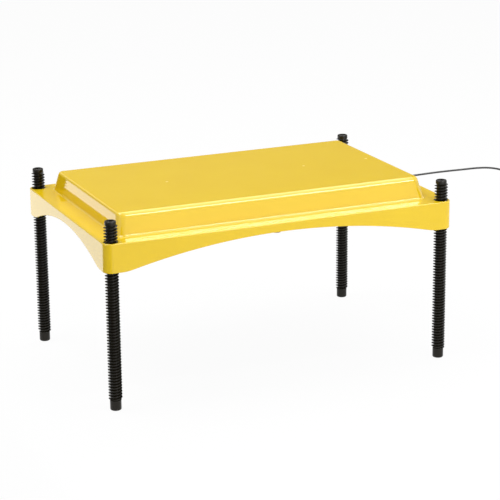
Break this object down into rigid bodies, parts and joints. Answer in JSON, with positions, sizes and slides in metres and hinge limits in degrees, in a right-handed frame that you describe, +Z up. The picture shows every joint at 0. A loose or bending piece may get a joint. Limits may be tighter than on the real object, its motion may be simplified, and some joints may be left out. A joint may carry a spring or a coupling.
{
  "type": "chicken brooder heater plate",
  "caption": "Brooder heater plate: a warm plate under a raised moulded cover with an arched skirt, standing over chicks on screw legs that set its height.",
  "frame": {"origin": "on the floor under the middle of the plate, with the legs set as pictured", "axes": "+X along the plate towards the end where the lead leaves, -Y towards the front, +Z up"},
  "size_m": [0.9104, 0.39, 0.3061],
  "materials": {
    "cover_plastic": "gloss",
    "base_plastic": "matte",
    "screw_steel": "satin",
    "seal_foam": "matte",
    "film": "gloss",
    "copper": "satin",
    "insulation": "matte",
    "cutout_plastic": "matte",
    "terminal_plastic": "satin",
    "brass": "satin",
    "wire_brown": "satin",
    "wire_red": "satin",
    "wire_blue": "satin",
    "cord_plastic": "satin",
    "clamp_plastic": "satin",
    "tie_plastic": "satin",
    "plug_metal": "polished",
    "leg_plastic": "satin"
  },
  "bodies": {
    "plate": {"top_cover": "cover_plastic", "base_plate": "base_plastic", "plate_studs": "cover_plastic", "base_screws": "screw_steel", "seal_strip": "seal_foam", "heating_film": "film", "film_tabs": "copper", "insulation_board": "insulation", "thermal_cutout": "cutout_plastic", "terminal_block": "terminal_plastic", "terminal_screws": "brass", "supply_wire": "wire_brown", "link_wire": "wire_red", "return_wire": "wire_blue", "cord_cores": "wire_blue", "inner_cord": "cord_plastic", "cord_clamp": "clamp_plastic", "clamp_screws": "screw_steel", "cord_gland": "cord_plastic", "cord_lead": "cord_plastic", "cord_coil": "cord_plastic", "coil_tie": "tie_plastic", "plug_body": "cord_plastic", "plug_sleeve": "plug_metal"},
    "front_left_leg": {"leg_front_left": "leg_plastic"},
    "front_right_leg": {"leg_front_right": "leg_plastic"},
    "rear_left_leg": {"leg_rear_left": "leg_plastic"},
    "rear_right_leg": {"leg_rear_right": "leg_plastic"}
  },
  "joints": [
    {"name": "front_left_height", "type": "slide", "parent": "plate", "child": "front_left_leg", "axis": [0, 0, 1], "range_m": [-0.027, 0.2]},
    {"name": "front_right_height", "type": "slide", "parent": "plate", "child": "front_right_leg", "axis": [0, 0, 1], "range_m": [-0.027, 0.2]},
    {"name": "rear_left_height", "type": "slide", "parent": "plate", "child": "rear_left_leg", "axis": [0, 0, 1], "range_m": [-0.027, 0.2]},
    {"name": "rear_right_height", "type": "slide", "parent": "plate", "child": "rear_right_leg", "axis": [0, 0, 1], "range_m": [-0.027, 0.2]}
  ]
}
